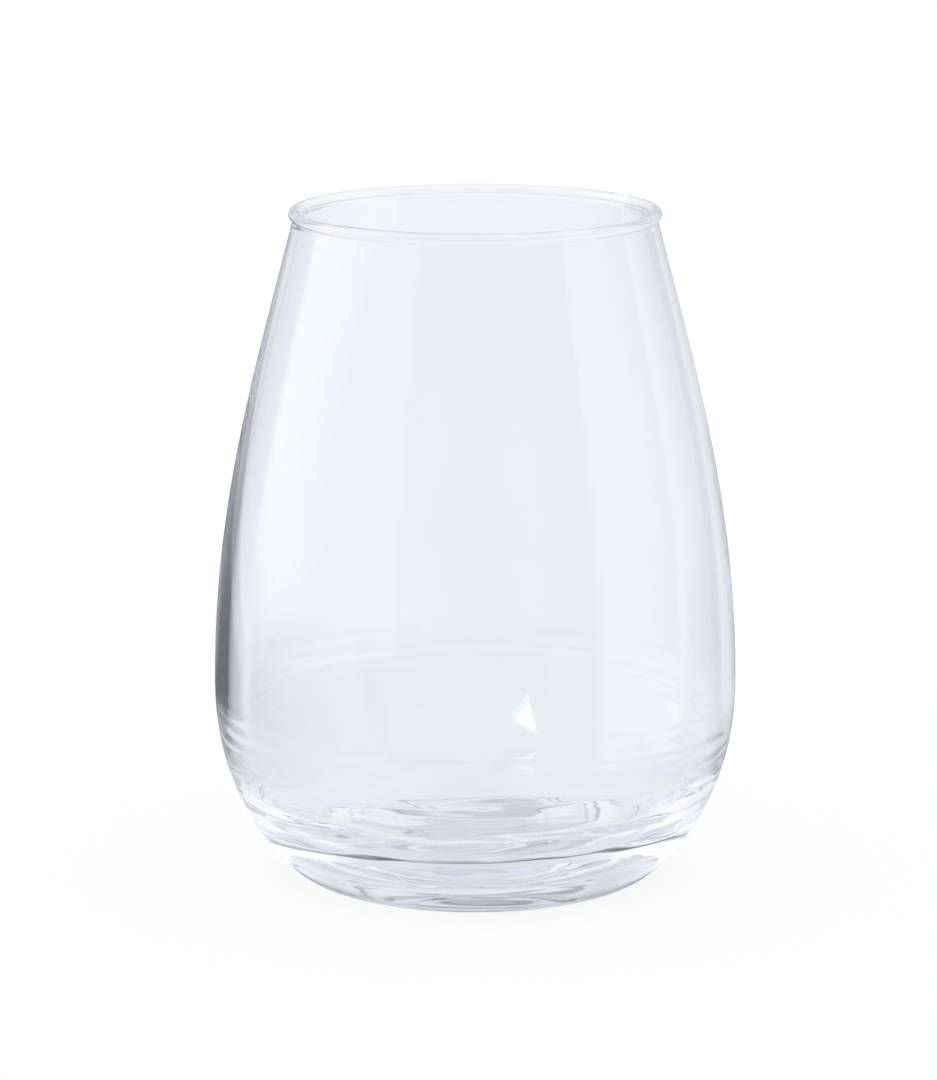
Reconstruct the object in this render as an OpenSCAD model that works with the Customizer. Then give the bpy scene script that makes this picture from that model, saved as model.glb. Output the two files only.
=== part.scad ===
// Stemless wine glass: a thick base, a blown wall that swells and draws in, and a rounded rim.
// Millimetres, +Z up. The origin is on the table, on the axis of the glass.

/* [Overall] */
// Height of the glass, from the table to the top of the rim
glass_h = 120; // [100:1:140]
// Outer diameter at the widest point of the bowl
belly_d = 93.7; // [86:0.1:104]
// Height of the widest point above the table
belly_z = 34.3; // [30:0.1:42]
// Outer diameter across the rim bead
rim_d = 66; // [56:0.1:76]
// Outer diameter of the flat ring that the glass stands on
foot_d = 62; // [56:0.1:68]

/* [Outer curve] */
// How far the heel runs level as it leaves the foot
heel_reach = 1.7; // [0.5:0.1:6]
// How far the wall runs upright below the widest point
belly_drop = 23; // [18:0.1:27]
// How far the wall runs upright above the widest point
belly_rise = 31.8; // [20:0.1:40]
// Lean of the wall under the rim, in degrees from upright
neck_lean = 14.5; // [6:0.5:22]
// How far the wall runs straight below the rim
neck_reach = 27.6; // [14:0.1:34]

/* [Wall and floor] */
// Wall thickness under the rim
rim_wall = 1.4; // [1:0.1:2]
// Wall thickness at the widest point
belly_wall = 2.3; // [1.7:0.1:3]
// How far the inside runs upright below the widest point
inner_drop = 19.5; // [14:0.1:22]
// Height of the inside floor above the table, at its middle
floor_z = 7; // [5.5:0.1:10]
// How far the inside floor runs level from its middle
floor_reach = 42.5; // [34:0.5:44.5]

/* [Rim bead] */
// Thickness of the round bead that melting the cut edge leaves
bead_d = 1.9; // [1.5:0.1:2.3]
// How far the bead stands out past the wall
bead_out = 0.7; // [0.3:0.1:1]
// Height of the crease between the wall and the bead
bead_crease = 0.3; // [0.1:0.1:0.8]

/* [Hollow under the base] */
// Diameter of the hollow, inside the ring that the glass stands on
punt_d = 48; // [34:0.5:52]
// Depth of the hollow at its middle
punt_h = 1.8; // [1:0.1:3]
// How far the hollow runs level from its middle
punt_reach = 10; // [6:0.5:16]
// How far the hollow runs level as it meets the ring
punt_edge = 8; // [4:0.5:10]

/* [Levels] */
// Height at which the thick base ends and the wall of the bowl begins
base_h = 14; // [12:0.5:20]

/* [Hidden] */
// Straight steps along each curve, and round a full turn
curve_steps = 36;
$fn = 180;
// How far a cut runs past the glass, above and below
cut_past = 1;
glass_tint = [0.88, 0.90, 0.95, 0.55];

foot_r = foot_d / 2;
belly_r = belly_d / 2;
rim_r = rim_d / 2;
punt_r = punt_d / 2;
bead_r = bead_d / 2;
neck_r = rim_r - bead_out;
neck_z = glass_h - bead_d - bead_crease;

// Where the outer curves meet, and the same places on the inside of the wall
belly = [belly_r, belly_z];
neck = [neck_r, neck_z];
belly_in = [belly_r - belly_wall, belly_z];
neck_in = [neck_r - rim_wall, neck_z];

// The way the wall runs down and out from the neck
neck_way = neck_reach * [sin(neck_lean), -cos(neck_lean)];
upright = [0, 1];
level_out = [1, 0];

// A smooth curve from a to d that leaves a towards b and arrives at d from c, without its first point
function curve(a, b, c, d) = [
    for (i = [1:curve_steps])
        let (t = i / curve_steps, s = 1 - t)
            s * s * s * a + 3 * s * s * t * b + 3 * s * t * t * c + t * t * t * d
];

// A round stretch about a centre, between two angles
function round_stretch(centre, radius, from_a, to_a) = [
    for (i = [0:curve_steps])
        let (a = from_a + (to_a - from_a) * i / curve_steps)
            centre + radius * [cos(a), sin(a)]
];

// The underside, from the middle of the hollow out to the ring that the glass stands on
punt_top = [0, punt_h];
punt_rim = [punt_r, 0];
underside = concat(
    [punt_top],
    curve(punt_top, punt_top + punt_reach * level_out, punt_rim - punt_edge * level_out, punt_rim)
);

// The outside, from the foot round the heel to the belly and up to the neck
foot = [foot_r, 0];
heel_curve = curve(foot, foot + heel_reach * level_out, belly - belly_drop * upright, belly);
wall_curve = curve(belly, belly + belly_rise * upright, neck + neck_way, neck);

// The bead, from the crease outside, over the top and down to the inside of the wall
bead = round_stretch([rim_r - bead_r, glass_h - bead_r], bead_r, -60, 200);

// The inside, down the wall to the belly and round to the middle of the floor
floor_mid = [0, floor_z];
inner_wall_curve = curve(neck_in, neck_in + neck_way, belly_in + belly_rise * upright, belly_in);
floor_curve = curve(belly_in, belly_in - inner_drop * upright, floor_mid + floor_reach * level_out, floor_mid);

glass_outline = concat(
    underside, [foot], heel_curve, wall_curve, bead, [neck_in], inner_wall_curve, floor_curve
);

// The glass between two heights: its outline cut to that band and turned about the axis
module glass_between(low_z, high_z) {
    rotate_extrude()
        intersection() {
            polygon(glass_outline);
            translate([0, low_z])
                square([belly_d, high_z - low_z]);
        }
}

// Thick bottom: heel, standing ring, hollow underneath and dished floor inside
module base() {
    color(glass_tint)
        glass_between(-cut_past, base_h);
}

// Blown wall, from the heel over the belly to the drawn-in neck
module bowl() {
    color(glass_tint)
        glass_between(base_h, neck_z);
}

// Rounded lip, a bead a little thicker than the wall
module rim() {
    color(glass_tint)
        glass_between(neck_z, glass_h + cut_past);
}

base();
bowl();
rim();
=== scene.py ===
# %% [markdown]
# # A stemless wine glass
# The real thing is one piece of clear blown glass: a heavy base, a thin wall that swells and draws in,
# and a rounded lip. Almost everything that the eye sees in it is bent light, so the work is in three
# places: the shape of the inner and outer surfaces, a clean glass material, and a bright room with a few
# darker parts for it to show.

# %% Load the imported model
from math import atan, cos, pi, radians, sin

import bpy
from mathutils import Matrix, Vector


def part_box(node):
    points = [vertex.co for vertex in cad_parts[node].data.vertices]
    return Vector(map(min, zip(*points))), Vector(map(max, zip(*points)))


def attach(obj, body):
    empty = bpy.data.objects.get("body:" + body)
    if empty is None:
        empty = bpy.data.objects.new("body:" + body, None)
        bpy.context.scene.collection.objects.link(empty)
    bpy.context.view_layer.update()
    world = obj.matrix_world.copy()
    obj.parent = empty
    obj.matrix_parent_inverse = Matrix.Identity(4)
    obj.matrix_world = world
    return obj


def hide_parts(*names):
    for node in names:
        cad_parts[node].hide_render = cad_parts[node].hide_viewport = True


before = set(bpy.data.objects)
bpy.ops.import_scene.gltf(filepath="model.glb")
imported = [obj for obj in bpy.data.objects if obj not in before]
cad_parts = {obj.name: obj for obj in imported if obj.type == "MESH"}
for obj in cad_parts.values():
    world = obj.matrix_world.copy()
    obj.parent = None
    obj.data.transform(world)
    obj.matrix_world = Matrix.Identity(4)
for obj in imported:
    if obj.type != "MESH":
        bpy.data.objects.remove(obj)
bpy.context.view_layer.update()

scene = bpy.context.scene
MM = 0.001

# %% [markdown]
# ## A short way to write nodes
# Node trees are easier to read as sums than as lists of links. `Wire` stands for an output socket: adding
# or multiplying wires adds Math nodes, and `Wire.node` adds any other node, with its settings first and
# then the value or link of each socket. The same class serves geometry, material and background trees.

# %% Wires


class Wire:
    """An output socket that takes part in sums."""

    def __init__(self, socket):
        self.socket = socket

    @staticmethod
    def pick(sockets, key):
        """A socket by its number, or by the name that shows on the node."""
        if isinstance(key, int):
            return sockets[key]
        return next(s for s in sockets if s.name == key and s.enabled)

    @classmethod
    def node(cls, tree, kind, settings=None, sockets=None, out=0):
        """Adds a node and gives a wire from one of its outputs, if it has any."""
        made = tree.nodes.new(kind)
        for name, value in (settings or {}).items():
            setattr(made, name, value)
        for key, value in (sockets or {}).items():
            socket = cls.pick(made.inputs, key)
            if isinstance(value, Wire):
                tree.links.new(value.socket, socket)
            elif isinstance(value, list):
                for wire in reversed(value):
                    tree.links.new(wire.socket, socket)
            else:
                socket.default_value = value
        return cls(cls.pick(made.outputs, out)) if made.outputs else None

    def out(self, key):
        """Another output of the same node."""
        return Wire(self.pick(self.socket.node.outputs, key))

    def maths(self, operation, *others):
        """This value put through a Math node."""
        values = dict(enumerate((self, *others)))
        return Wire.node(self.socket.id_data, "ShaderNodeMath", {"operation": operation}, values)

    def flipped(self, operation, first):
        """A Math node with a plain number before this value."""
        values = {0: first, 1: self}
        return Wire.node(self.socket.id_data, "ShaderNodeMath", {"operation": operation}, values)

    def __add__(self, other):
        return self.maths("ADD", other)

    def __sub__(self, other):
        return self.maths("SUBTRACT", other)

    def __rsub__(self, other):
        return self.flipped("SUBTRACT", other)

    def __mul__(self, other):
        return self.maths("MULTIPLY", other)

    def __truediv__(self, other):
        return self.maths("DIVIDE", other)

    def __rtruediv__(self, other):
        return self.flipped("DIVIDE", other)

    __radd__, __rmul__ = __add__, __mul__

    def rise(self, low, high):
        """0 below low, 1 above high and a smooth step between."""
        return Wire.node(
            self.socket.id_data,
            "ShaderNodeMapRange",
            {"interpolation_type": "SMOOTHSTEP"},
            {"Value": self, "From Min": low, "From Max": high},
        )

    def hump(self, middle, width):
        """1 at the middle, falling smoothly to 0 at a width on either side."""
        return 1 - (self - middle).maths("ABSOLUTE").rise(0.0, width)


print("Wires add, subtract, multiply and divide")

# %% [markdown]
# ## The sizes of the glass
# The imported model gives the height, the belly, the rim and the height of the neck. The other sizes are
# those of the same outline: how far each curve runs straight before it bends, the wall, the floor and the
# hollow underneath.

# %% Sizes
rim_low, rim_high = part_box("rim")
bowl_low, bowl_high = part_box("bowl")

SIZES = {
    "Glass Height": rim_high.z,
    "Neck Height": rim_low.z,
    "Rim Radius": rim_high.x,
    "Belly Radius": bowl_high.x,
    "Belly Height": 34.3 * MM,
    "Foot Radius": 31 * MM,
    "Heel Reach": 1.7 * MM,
    "Belly Drop": 23 * MM,
    "Belly Rise": 31.8 * MM,
    "Neck Lean": radians(14.5),
    "Neck Reach": 27.6 * MM,
    "Rim Wall": 1.4 * MM,
    "Belly Wall": 2.3 * MM,
    "Inner Drop": 19.5 * MM,
    "Floor Height": 7 * MM,
    "Floor Reach": 42.5 * MM,
    "Bead Radius": 0.95 * MM,
    "Bead Overhang": 0.7 * MM,
    "Punt Radius": 24 * MM,
    "Punt Depth": 1.8 * MM,
    "Punt Reach": 10 * MM,
    "Punt Edge": 8 * MM,
}
print("Glass height", round(SIZES["Glass Height"] / MM, 1), "mm")
print("Belly radius", round(SIZES["Belly Radius"] / MM, 2), "mm")

# %% [markdown]
# ## The glass as a turned outline
# A glassblower spins the glass, so a lathe is the natural rule for it. The outline is drawn flat, radius
# across and height up, from smooth curves joined end to end. A grid then takes one row for each point of
# the outline and one column for each step of a full turn. Merging closes the seam and the two poles, so
# the glass is one closed skin.

# %% The tree and its named inputs
lathe = bpy.data.node_groups.new("turned_glass", "GeometryNodeTree")
socket_ids = {}
for size_name in SIZES:
    item = lathe.interface.new_socket(name=size_name, in_out="INPUT", socket_type="NodeSocketFloat")
    socket_ids[size_name] = item.identifier
lathe.interface.new_socket(name="Geometry", in_out="OUTPUT", socket_type="NodeSocketGeometry")
given = Wire.node(lathe, "NodeGroupInput")


def size(name):
    """One of the tree's named inputs."""
    return given.out(name)


def at(radius, height):
    """A place on the flat outline."""
    return Wire.node(lathe, "ShaderNodeCombineXYZ", {}, {"X": radius, "Y": height})


def smooth_run(steps, start, start_handle, end_handle, end):
    """One smooth stretch of the outline between two places."""
    return Wire.node(
        lathe,
        "GeometryNodeCurvePrimitiveBezierSegment",
        {"mode": "POSITION"},
        {
            "Resolution": steps,
            "Start": at(*start),
            "Start Handle": at(*start_handle),
            "End Handle": at(*end_handle),
            "End": at(*end),
        },
    )


print("Inputs:", len(socket_ids))

# %% [markdown]
# ### Underside, outside and inside
# Each stretch leaves and arrives along a direction that its neighbour shares, so the surface has no edge
# except where the real glass has one: the crease under the lip. The floor and the inside of the heel get
# the most steps, because the waves and rings that come later are fine.

# %% Stretches of the outline
HOLLOW_STEPS, RING_STEPS, HEEL_STEPS = 28, 3, 56
WALL_STEPS, INNER_WALL_STEPS, FLOOR_STEPS = 48, 52, 120

foot_r, belly_r, belly_z = size("Foot Radius"), size("Belly Radius"), size("Belly Height")
neck_r, neck_z = size("Rim Radius") - size("Bead Overhang"), size("Neck Height")
inner_belly_r, inner_neck_r = belly_r - size("Belly Wall"), neck_r - size("Rim Wall")
lean_out, lean_up = size("Neck Lean").maths("SINE"), size("Neck Lean").maths("COSINE")
reach_out, reach_down = lean_out * size("Neck Reach"), neck_z - lean_up * size("Neck Reach")
rise_z = belly_z + size("Belly Rise")
punt_r, floor_z = size("Punt Radius"), size("Floor Height")

hollow = smooth_run(
    HOLLOW_STEPS,
    (0.0, size("Punt Depth")),
    (size("Punt Reach"), size("Punt Depth")),
    (punt_r - size("Punt Edge"), 0.0),
    (punt_r, 0.0),
)
standing_ring = smooth_run(RING_STEPS, (punt_r, 0.0), (punt_r, 0.0), (foot_r, 0.0), (foot_r, 0.0))
heel = smooth_run(
    HEEL_STEPS,
    (foot_r, 0.0),
    (foot_r + size("Heel Reach"), 0.0),
    (belly_r, belly_z - size("Belly Drop")),
    (belly_r, belly_z),
)
outer_wall = smooth_run(
    WALL_STEPS, (belly_r, belly_z), (belly_r, rise_z), (neck_r + reach_out, reach_down), (neck_r, neck_z)
)
inner_wall = smooth_run(
    INNER_WALL_STEPS,
    (inner_neck_r, neck_z),
    (inner_neck_r + reach_out, reach_down),
    (inner_belly_r, rise_z),
    (inner_belly_r, belly_z),
)
floor_run = smooth_run(
    FLOOR_STEPS,
    (inner_belly_r, belly_z),
    (inner_belly_r, belly_z - size("Inner Drop")),
    (size("Floor Reach"), floor_z),
    (0.0, floor_z),
)
print("Stretches: hollow, standing ring, heel, outer wall, inner wall, floor")

# %% [markdown]
# ### The lip
# The cut edge was melted until it drew itself into a round bead, a little thicker than the wall. An arc
# makes the bead, and a short curve on each side leads from it into the wall.

# %% The lip
BEAD_FROM, BEAD_TO = radians(-60), radians(200)
BEAD_POINTS, CREASE_STEPS = 25, 5
CREASE_HANDLE = 0.18 * MM
bead_r = size("Bead Radius")
bead_mid_r, bead_mid_z = size("Rim Radius") - bead_r, size("Glass Height") - bead_r
bead_sweep = BEAD_TO - BEAD_FROM
bead_arc = Wire.node(
    lathe,
    "GeometryNodeCurveArc",
    {"mode": "RADIUS"},
    {"Resolution": BEAD_POINTS, "Radius": bead_r, "Start Angle": BEAD_FROM, "Sweep Angle": bead_sweep},
)
bead = Wire.node(
    lathe, "GeometryNodeSetPosition", {}, {"Geometry": bead_arc, "Offset": at(bead_mid_r, bead_mid_z)}
)


def on_bead(angle, along=0.0):
    """A place on the bead, moved along its edge by a distance."""
    return (
        bead_mid_r + bead_r * cos(angle) - along * sin(angle),
        bead_mid_z + bead_r * sin(angle) + along * cos(angle),
    )


outer_crease = smooth_run(
    CREASE_STEPS,
    (neck_r, neck_z),
    (neck_r - lean_out * CREASE_HANDLE, neck_z + lean_up * CREASE_HANDLE),
    on_bead(BEAD_FROM, -CREASE_HANDLE),
    on_bead(BEAD_FROM),
)
inner_crease = smooth_run(
    CREASE_STEPS,
    on_bead(BEAD_TO),
    on_bead(BEAD_TO, CREASE_HANDLE),
    (inner_neck_r - lean_out * CREASE_HANDLE, neck_z + lean_up * CREASE_HANDLE),
    (inner_neck_r, neck_z),
)
print("Lip: an arc of", round(bead_sweep * 180 / pi), "degrees with a crease on each side")

# %% [markdown]
# ### Turning it
# A grid has the right faces from the start, so only its points have to move. Each point looks up its row
# on the outline and goes round the axis by its column.

# %% Turning the outline
TURN_STEPS = 256
MERGE_DISTANCE = 0.001 * MM
stretches = [
    hollow, standing_ring, heel, outer_wall, outer_crease, bead, inner_crease, inner_wall, floor_run,
]
outline = Wire.node(lathe, "GeometryNodeJoinGeometry", {}, {"Geometry": stretches})
outline_points = Wire.node(lathe, "GeometryNodeCurveToPoints", {"mode": "EVALUATED"}, {"Curve": outline})
rows = Wire.node(
    lathe, "GeometryNodeAttributeDomainSize", {"component": "POINTCLOUD"}, {"Geometry": outline_points}
)
columns = TURN_STEPS + 1
grid = Wire.node(lathe, "GeometryNodeMeshGrid", {}, {"Vertices X": rows, "Vertices Y": columns})
index = Wire.node(lathe, "GeometryNodeInputIndex")
row = (index / columns).maths("FLOOR")
turn = (index - row * columns) * (2 * pi / TURN_STEPS)
position = Wire.node(lathe, "GeometryNodeInputPosition")
drawn = Wire.node(
    lathe,
    "GeometryNodeSampleIndex",
    {"data_type": "FLOAT_VECTOR", "domain": "POINT"},
    {"Geometry": outline_points, "Value": position, "Index": row},
)
drawn_r = Wire.node(lathe, "ShaderNodeSeparateXYZ", {}, {"Vector": drawn})
turned_place = Wire.node(
    lathe,
    "ShaderNodeCombineXYZ",
    {},
    {"X": drawn_r * turn.maths("COSINE"), "Y": drawn_r * turn.maths("SINE"), "Z": drawn_r.out("Y")},
)
turned = Wire.node(lathe, "GeometryNodeSetPosition", {}, {"Geometry": grid, "Position": turned_place})
merged = Wire.node(
    lathe, "GeometryNodeMergeByDistance", {}, {"Geometry": turned, "Distance": MERGE_DISTANCE}
)
closed = Wire.node(lathe, "GeometryNodeFlipFaces", {}, {"Mesh": merged})
print("Columns round the glass:", TURN_STEPS)

# %% [markdown]
# ### What the heat leaves behind
# Molten glass is never quite even. The inside of the heel carries long level waves and fine streaks where
# the gob settled in the mould, the floor sags a little and is a hair thicker on one side, and it has
# wavering rings where it chilled first. All of this is a fraction of a millimetre, yet it draws the
# broken lines that the eye sees in the base, so it is real shape here and not only colour. Noise that is
# squeezed along the height makes the waves, and a hump in the radius makes each ring. The outside was
# pressed smooth by the mould, so it is left alone.

# %% Places on the inside
where = Wire.node(lathe, "ShaderNodeSeparateXYZ", {}, {"Vector": position})
radius = (where * where + where.out("Y") * where.out("Y")).maths("SQRT")
height = where.out("Z")
normal = Wire.node(lathe, "GeometryNodeInputNormal")
facing = Wire.node(lathe, "ShaderNodeSeparateXYZ", {}, {"Vector": normal})
outward = (facing * where + facing.out("Y") * where.out("Y")) / (radius + 0.01 * MM)
inside = (facing.out("Z") - outward).rise(-0.1, 0.1)
low_down = 1 - height.rise(14 * MM, 32 * MM)
on_heel = height.rise(9 * MM, 14 * MM) * (1 - height.rise(26 * MM, 38 * MM))


def wander(feature, squeeze, detail=1.0):
    """Soft unevenness between -1 and 1, with features of one size, squeezed along the height."""
    flat = Wire.node(
        lathe, "ShaderNodeVectorMath", {"operation": "MULTIPLY"}, {0: position, 1: (1.0, 1.0, squeeze)}
    )
    noise = Wire.node(
        lathe, "ShaderNodeTexNoise", {}, {"Vector": flat, "Scale": 1 / feature, "Detail": detail}, out="Fac"
    )
    return noise * 2 - 1


print("Unevenness is ready for the floor and the heel")

# %% Settling waves and chill rings
WAVE_HEIGHT = 0.18 * MM
STREAK_HEIGHT = 0.09 * MM
SAG_HEIGHT = 0.12 * MM
FLOOR_TILT = 0.015
RING_HEIGHT = 0.09 * MM
OUTER_RING, RING_DIP, INNER_RING = 22 * MM, 20.3 * MM, 13.5 * MM
waves = wander(16 * MM, 7.0) * low_down * height.rise(7.4 * MM, 10 * MM) * WAVE_HEIGHT
streaks = wander(18 * MM, 12.0, detail=2.0) * on_heel * STREAK_HEIGHT
sag = wander(45 * MM, 1.0, detail=0.0) * low_down * SAG_HEIGHT
tilt = where * FLOOR_TILT * (1 - height.rise(8 * MM, 25 * MM))
ring_wobble = radius + wander(14 * MM, 1.0) * (1.3 * MM)
ring_break = wander(6 * MM, 1.0).rise(-0.5, 0.3)
chill_ring = ring_wobble.hump(OUTER_RING, 1.1 * MM) - ring_wobble.hump(RING_DIP, 1.0 * MM) * 0.6
inner_ring = ring_wobble.hump(INNER_RING, 1.4 * MM) * 0.4
rings = (chill_ring * ring_break + inner_ring) * RING_HEIGHT * low_down
swell = inside * (waves + streaks + sag + tilt + rings)
moved = Wire.node(
    lathe, "ShaderNodeVectorMath", {"operation": "SCALE"}, {"Vector": normal, "Scale": swell}
)
settled = Wire.node(lathe, "GeometryNodeSetPosition", {}, {"Geometry": closed, "Offset": moved})
print("Waves up to", round(WAVE_HEIGHT / MM, 2), "mm, rings up to", round(RING_HEIGHT / MM, 2), "mm")

# %% [markdown]
# ## Clear glass
# Clear glass bends light by its refractive index and takes away a little of it on the way. An even
# absorption inside does that, so a thick base is deeper in tone than a thin wall. Hands and washing leave
# a faint film, so a slow noise moves the tint and the polish by a hair. Over the rings where the floor
# chilled first, thin wavering lines of painted shade darken the tint, and they help the shape of the rings.

# %% Film and painted shade lines
glass_material = bpy.data.materials.new("clear_glass")
glass_material.use_nodes = True
shade = glass_material.node_tree
shade.nodes.clear()
coords = Wire.node(shade, "ShaderNodeTexCoord", out="Object")


def mottle(scale, detail):
    """Soft noise over the glass, between 0 and 1."""
    return Wire.node(
        shade, "ShaderNodeTexNoise", {}, {"Vector": coords, "Scale": scale, "Detail": detail}, out="Fac"
    )


def blend(factor, first, second):
    """A colour between two others."""
    sockets = {"Factor": factor, "A": first, "B": second}
    return Wire.node(shade, "ShaderNodeMix", {"data_type": "RGBA"}, sockets, out="Result")


CLEAN_TINT, FILM_TINT = (0.998, 0.998, 0.999, 1), (0.991, 0.992, 0.994, 1)
LINE_SHADE_TINT = (0.2, 0.22, 0.3, 1)
film = mottle(40.0, 3.0)
tint = blend(film.rise(0.3, 0.7), FILM_TINT, CLEAN_TINT)
polish = film.rise(0.5, 0.8) * 0.012
place = Wire.node(shade, "ShaderNodeSeparateXYZ", {}, {"Vector": coords})
on_floor = place.out("Z").rise(6.4 * MM, 6.8 * MM) * (1 - place.out("Z").rise(9.4 * MM, 10 * MM))
drift = mottle(70.0, 2.0)
floor_r = (place * place + place.out("Y") * place.out("Y")).maths("SQRT") + (drift - 0.5) * (3.5 * MM)
# Painted shade: thin dark wavering lines over the chill rings of the floor, mixed into the glass's tint
lines = floor_r.hump(22.8 * MM, 0.8 * MM) + floor_r.hump(20.6 * MM, 0.6 * MM) * 0.8
lines = lines + floor_r.hump(13.5 * MM, 0.6 * MM) * 0.6
tint_with_line_shade = blend(lines * on_floor * drift.rise(0.35, 0.6), tint, LINE_SHADE_TINT)
print("Film and three chill lines")

# %% Glass material
GLASS_INDEX = 1.52
DEPTH_TINT, DEPTH_DENSITY = (0.745, 0.766, 0.838, 1), 5.0
glass_shader = Wire.node(
    shade,
    "ShaderNodeBsdfPrincipled",
    {},
    {"Base Color": tint_with_line_shade, "Roughness": polish, "IOR": GLASS_INDEX, "Transmission Weight": 1.0},
)
depth = Wire.node(shade, "ShaderNodeVolumeAbsorption", {}, {"Color": DEPTH_TINT, "Density": DEPTH_DENSITY})
Wire.node(shade, "ShaderNodeOutputMaterial", {}, {"Surface": glass_shader, "Volume": depth})
print("Glass with refractive index", GLASS_INDEX)

# %% [markdown]
# ## From tree to mesh
# The tree ends with smooth shading, realised geometry and the material. It is evaluated once, and the
# result becomes a plain mesh, which stands for all three solids: inside one piece of glass there are no
# faces between them.

# %% The finished glass
smooth = Wire.node(lathe, "GeometryNodeSetShadeSmooth", {}, {"Geometry": settled})
real = Wire.node(lathe, "GeometryNodeRealizeInstances", {}, {"Geometry": smooth})
dressed = Wire.node(lathe, "GeometryNodeSetMaterial", {}, {"Geometry": real, "Material": glass_material})
Wire.node(lathe, "NodeGroupOutput", {}, {"Geometry": dressed})

blank = bpy.data.objects.new("glass_blank", bpy.data.meshes.new("glass_blank"))
scene.collection.objects.link(blank)
spin = blank.modifiers.new("spin", "NODES")
spin.node_group = lathe
for size_name, value in SIZES.items():
    spin[socket_ids[size_name]] = value
evaluated = blank.evaluated_get(bpy.context.evaluated_depsgraph_get())
glass_mesh = bpy.data.meshes.new_from_object(evaluated)
glass_mesh.name = "glass"
bpy.data.objects.remove(blank)
glass = bpy.data.objects.new("glass", glass_mesh)
scene.collection.objects.link(glass)

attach(glass, "root")
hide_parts("base", "bowl", "rim")
print("Glass faces:", len(glass_mesh.polygons))

# %% [markdown]
# ## The ground
# The glass stands on a small sheet of white paper, as on a photographer's table. To the eye, everything
# around it is white. Straight through the glass it has the faint grey of a screen. What the glass mirrors
# is different again: there the sheet has edges, and the darker room shows beyond them. `Glossy Depth`
# counts how often light was mirrored on its way, so it tells these apart. A small part of the paper is
# left to ordinary light, which keeps the soft shadow.

# %% Paper
GROUND_HALF = 2.0
paper_mesh = bpy.data.meshes.new("paper")
corners = [(-1, -1), (1, -1), (1, 1), (-1, 1)]
paper_mesh.from_pydata([(x * GROUND_HALF, y * GROUND_HALF, 0) for x, y in corners], [], [(0, 1, 2, 3)])
paper = bpy.data.objects.new("paper", paper_mesh)
scene.collection.objects.link(paper)
print("Ground", 2 * GROUND_HALF, "m across")

# %% Tones of paper and room
ROOM_TONE = (0.97, 0.98, 1.03)
ROOM_LIFT = (0.0, 0.003, 0.022)
SCREEN_TONE = (0.92, 0.927, 0.97)
SHADOW_TONE = (0.24, 0.225, 0.16)


def light_paths(tree):
    """Three switches, for light that meets the eye or paper, comes straight through, or was mirrored."""
    path = Wire.node(tree, "ShaderNodeLightPath")
    plain = path.maths("MAXIMUM", path.out("Is Diffuse Ray"))
    mirrored = path.out("Glossy Depth").maths("GREATER_THAN", 0.5)
    through = path.out("Is Transmission Ray") * (1 - mirrored)
    return plain, through, mirrored


def toned(tree, level, plain, through, shadow=0.0, screen=1.0):
    """White to the eye, the screen's tone through the glass, the level where mirrored, less any shadow."""
    parts = {}
    for number, channel in enumerate(("Red", "Green", "Blue")):
        part = level * ROOM_TONE[number] + ROOM_LIFT[number]
        part = part + (1 - part) * plain
        part = part + (screen * SCREEN_TONE[number] - part) * through
        parts[channel] = part * (1 - shadow * SHADOW_TONE[number])
    return Wire.node(tree, "ShaderNodeCombineColor", {}, parts)


print("White to the eye, screen tone through the glass", SCREEN_TONE)

# %% [markdown]
# ### Painted shade at the foot
# Mirrored light shows how dark the paper is around the foot. Where the standing ring touches it, hardly
# any light gets in, so there is a thin dark line, fainter in places. The gap under the heel is dark too,
# and widest in front, and the paper under the front of the ring is dim. Behind the glass the light comes
# in, so the line stops there.

# %% Painted shade at the foot
paper_material = bpy.data.materials.new("white_paper")
paper_material.use_nodes = True
tree = paper_material.node_tree
tree.nodes.clear()
plain, through, mirrored = light_paths(tree)
spot_place = Wire.node(tree, "ShaderNodeTexCoord", out="Object")
spot = Wire.node(tree, "ShaderNodeSeparateXYZ", {}, {"Vector": spot_place})
spot_y = spot.out("Y")
reach = (spot * spot + spot_y * spot_y).maths("SQRT")

CONTACT_RADIUS, GAP_RADIUS = 29.5 * MM, 32.6 * MM
RING_DIM = 0.28
# Painted shade on the paper: the contact line, the gap under the heel and the dim ring; a noise makes the
# painted contact line fainter in places
contact_shade_noise = Wire.node(
    tree, "ShaderNodeTexNoise", {}, {"Vector": spot_place, "Scale": 45.0, "Detail": 1.0}, out="Fac"
)
contact = reach.hump(CONTACT_RADIUS, 1.9 * MM) * (0.72 + contact_shade_noise.rise(0.4, 0.6) * 0.3)
front_gap = reach.rise(30.5 * MM, 31.5 * MM) * (1 - reach.rise(35 * MM, 38 * MM))
front_gap = front_gap * spot.hump(0.0, 24 * MM)
heel_gap = reach.hump(GAP_RADIUS, 2 * MM).maths("MAXIMUM", front_gap)
ring_shade = reach.rise(20 * MM, 24 * MM) * (1 - reach.rise(31 * MM, 33 * MM))
ring_shade = ring_shade * (1 - spot_y.rise(-16 * MM, -8 * MM))
ring_shade = ring_shade * (1 - spot.maths("ABSOLUTE").rise(17 * MM, 27 * MM)) * RING_DIM
not_behind = 1 - spot_y.rise(13 * MM, 19 * MM)
foot_shade = (contact + heel_gap).maths("MAXIMUM", ring_shade) * not_behind
print("Dark line at a radius of", round(CONTACT_RADIUS / MM, 1), "mm")

# %% [markdown]
# ### The sheet
# Further out, the mirrored paper is dimmer away from the glass, in front of it and close behind it, and it
# ends at the edge of the sheet. Seen straight through the glass it is a little dimmer low down at the
# sides, and under the base it is in shade.

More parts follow.
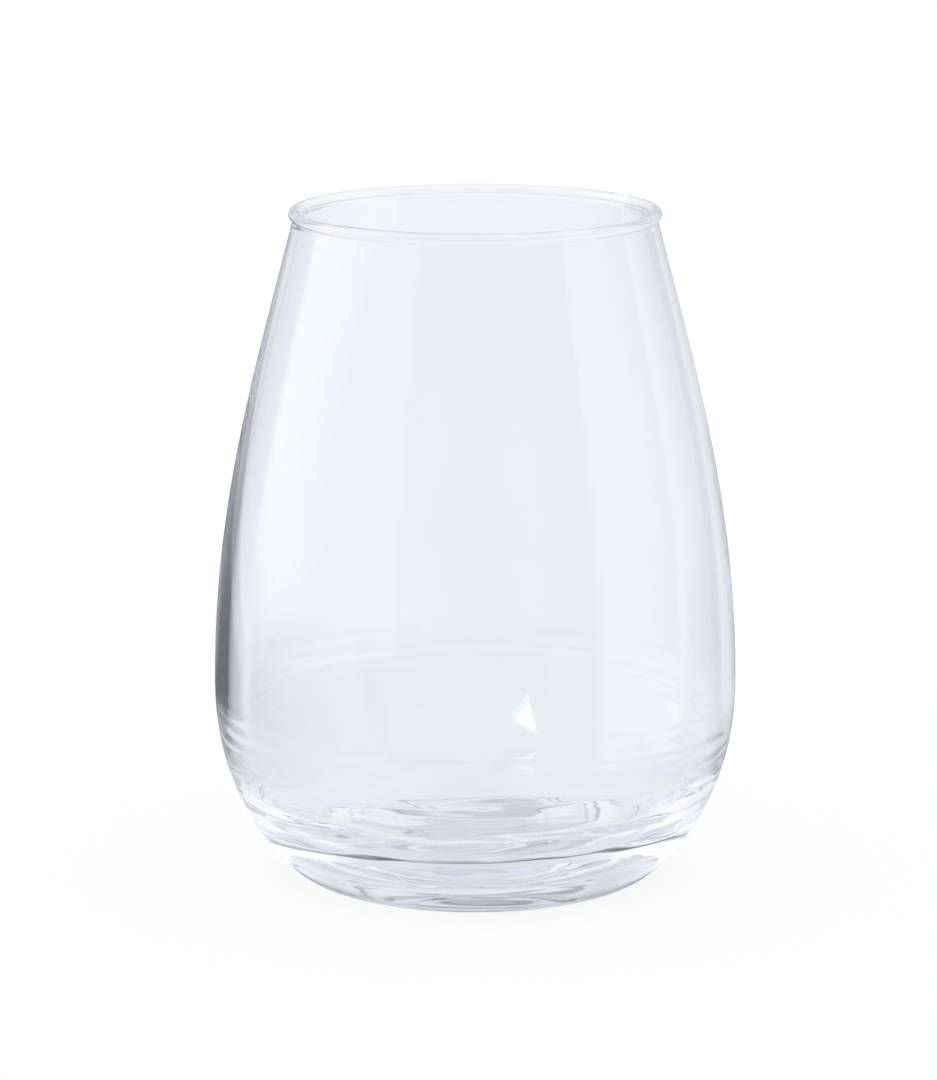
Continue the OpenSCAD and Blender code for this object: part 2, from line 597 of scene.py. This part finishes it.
# %% The sheet
SHEET_RADIUS = 0.13
SHEET_EDGE = 0.02
FULL_LEVEL, LEAST_LEVEL = 1.1, 0.02
on_sheet = 1 - reach.rise(SHEET_RADIUS - SHEET_EDGE, SHEET_RADIUS + SHEET_EDGE)
# Painted shade on the paper: dimmer far off, in front and close behind, a little dimmer low at the sides
# through the glass, and a painted shadow under the base
far_off = reach.rise(0.045, 0.1) * 0.75
in_front = (1 - spot_y.rise(-45 * MM, -20 * MM)) * spot.hump(0.0, 45 * MM) * 0.35
close_behind = spot_y.rise(10 * MM, 19 * MM) * (1 - reach.rise(45 * MM, 60 * MM)) * 0.16
paper_level = FULL_LEVEL - foot_shade - far_off - in_front - close_behind
paper_level = paper_level.maths("MAXIMUM", LEAST_LEVEL)
under_base = 1 - reach.rise(14 * MM, 28 * MM)
low_side = 1 - spot_y.rise(0.14, 0.2)
left_dim = (1 - spot.rise(-0.042, -0.012)) * low_side * 0.075
right_dim = spot.rise(0.012, 0.042) * low_side * 0.04
paper_tone = toned(tree, paper_level, plain, through, under_base, 1 - left_dim - right_dim)

GLOW_SHARE = 0.85
lit = Wire.node(tree, "ShaderNodeBsdfDiffuse", {}, {"Color": (0.95, 0.95, 0.95, 1)})
white = Wire.node(tree, "ShaderNodeEmission", {}, {"Color": paper_tone, "Strength": 1.03})
glowing = (plain + through + mirrored) * GLOW_SHARE
sheet = Wire.node(tree, "ShaderNodeMixShader", {}, {"Fac": glowing, 1: lit, 2: white})
beyond = Wire.node(tree, "ShaderNodeBsdfTransparent")
past_edge = mirrored * (1 - on_sheet)
ground = Wire.node(tree, "ShaderNodeMixShader", {}, {"Fac": past_edge, 1: sheet, 2: beyond})
Wire.node(tree, "ShaderNodeOutputMaterial", {}, {"Surface": ground})
paper_mesh.materials.append(paper_material)
print("Sheet of paper", round(2 * SHEET_RADIUS, 2), "m across")

# %% [markdown]
# ## The room
# Clear glass mirrors the room. This one has a tall lamp on the left that fades towards the front, a
# softer one on the right, and a darker side towards the camera, which draws the grey panel down the
# middle of the glass. To the camera the room is plain white, and straight through the glass it has the
# screen's tone. Directions are bearings in degrees from the camera's side, to the right, and `up`, which
# is 0 on the level and 1 overhead.

# %% Directions in the room
room = bpy.data.worlds.new("room")
scene.world = room
room.use_nodes = True
sky = room.node_tree
sky.nodes.clear()
sky_place = Wire.node(sky, "ShaderNodeTexCoord", out="Generated")
way = Wire.node(sky, "ShaderNodeSeparateXYZ", {}, {"Vector": sky_place})
bearing = way.maths("ARCTAN2", way.out("Y") * -1) * (180 / pi)
aside = bearing.maths("ABSOLUTE")
up = way.out("Z")


def between(first, last, first_soft, last_soft):
    """1 between two bearings, with soft edges."""
    begun = bearing.rise(first - first_soft, first + first_soft)
    ended = bearing.rise(last - last_soft, last + last_soft)
    return begun * (1 - ended)


def towards(start, value, amount):
    """A level moved towards a value, all the way where the amount is 1."""
    return start + (value - start) * amount


print("Bearings run from -180 to 180 degrees")

# %% Lamps and the dark front
FRONT_FROM, FRONT_TO = -36, 57
level = 0.86 - aside.rise(150, 180) * 0.3
level = level * (0.7 + up.rise(-0.3, -0.22) * 0.3)
level = towards(level, 0.78, up.rise(-0.1, 0.1))
right_lamp = 0.97 - (1 - up.rise(-0.3, -0.1)) * 0.35
level = towards(level, right_lamp, between(FRONT_TO, 114, 3, 12))
left_lamp = 0.68 + (1 - bearing.rise(-115, -50)) * 0.8
left_lamp = towards(left_lamp, 0.15, 1 - up.rise(-0.24, -0.03))
level = towards(level, left_lamp, between(-119, FRONT_FROM, 3, 3))
front = 0.22 + 0.12 * up.rise(-0.18, 0.05) + 0.35 * up.rise(0.3, 0.5)
level = towards(level, front, between(FRONT_FROM, FRONT_TO, 3, 3))
print("Dark front over", FRONT_TO - FRONT_FROM, "degrees, with a lamp on each side")

# %% [markdown]
# A few smaller things finish the room. A dark board behind on the left gives the glass its dark edge
# there, the back is dimmer on the level and lighter just above it, which keeps the floor of the glass
# even, and a dark beam overhead draws the crescent at the foot. One small bright window makes the sparkle
# above the floor.

# %% Board, beam and window
BOARD_LEVEL, SKY_LEVEL, BEAM_LEVEL, WINDOW_LEVEL = 0.16, 0.92, 0.2, 2.2
board_edge = bearing + (up + 0.2).maths("MAXIMUM", 0.0) * 320
board = (1 - board_edge.rise(-129, -122)) * up.rise(-0.29, -0.27) * (1 - up.rise(-0.2, -0.06) * 0.7)
level = towards(level, BOARD_LEVEL, board)
level = level - aside.rise(140, 165) * up.rise(-0.1, 0.05) * 0.12
glow = aside.rise(140, 165) * up.rise(0.18, 0.22) * (1 - up.rise(0.3, 0.4))
level = level + glow * 0.17
level = towards(level, SKY_LEVEL, up.rise(0.4, 0.7))
beam = up.rise(0.885, 0.91) * (1 - up.rise(0.93, 0.955)) * aside.rise(130, 155)
level = towards(level, BEAM_LEVEL, beam)
window = (bearing - up * 200).rise(57, 58.5) * (1 - (bearing * 10 + up * 600).rise(126, 136))
window = window * (bearing * 4 + up * 1800).rise(-318, -308)
level = towards(level, WINDOW_LEVEL, window)
plain, through, mirrored = light_paths(sky)
colour = toned(sky, level, plain, through)
background = Wire.node(sky, "ShaderNodeBackground", {}, {"Color": colour})
Wire.node(sky, "ShaderNodeOutputWorld", {}, {"Surface": background})
print("Room built")

# %% [markdown]
# ## Camera
# The camera stands where the photograph was taken from: a little under a metre away, looking slightly
# down. Its lens and its turn come from the photograph's frame, in pixels. Light meets many surfaces on
# its way through thick glass, so it is followed over more bounces than usual.

# %% Camera and light bounces
FRAME_W, FRAME_H = 937, 1080
FOCAL_PX = 4565.5
AXIS_PX = 475.4
LOOK_DOWN = 12.035
camera_data = bpy.data.cameras.new("camera")
camera_data.sensor_width = 36
camera_data.lens = FOCAL_PX / FRAME_H * camera_data.sensor_width
camera_data.clip_start = 0.01
camera = bpy.data.objects.new("camera", camera_data)
camera.location = (0, -0.8, 0.23065)
camera.rotation_euler = (radians(90 - LOOK_DOWN), 0, atan((AXIS_PX - FRAME_W / 2) / FOCAL_PX))
scene.collection.objects.link(camera)
scene.camera = camera

scene.cycles.max_bounces = 160
scene.cycles.glossy_bounces = 128
scene.cycles.transmission_bounces = 32
scene.view_settings.view_transform = "Standard"
print("Lens", round(camera_data.lens, 1), "mm")
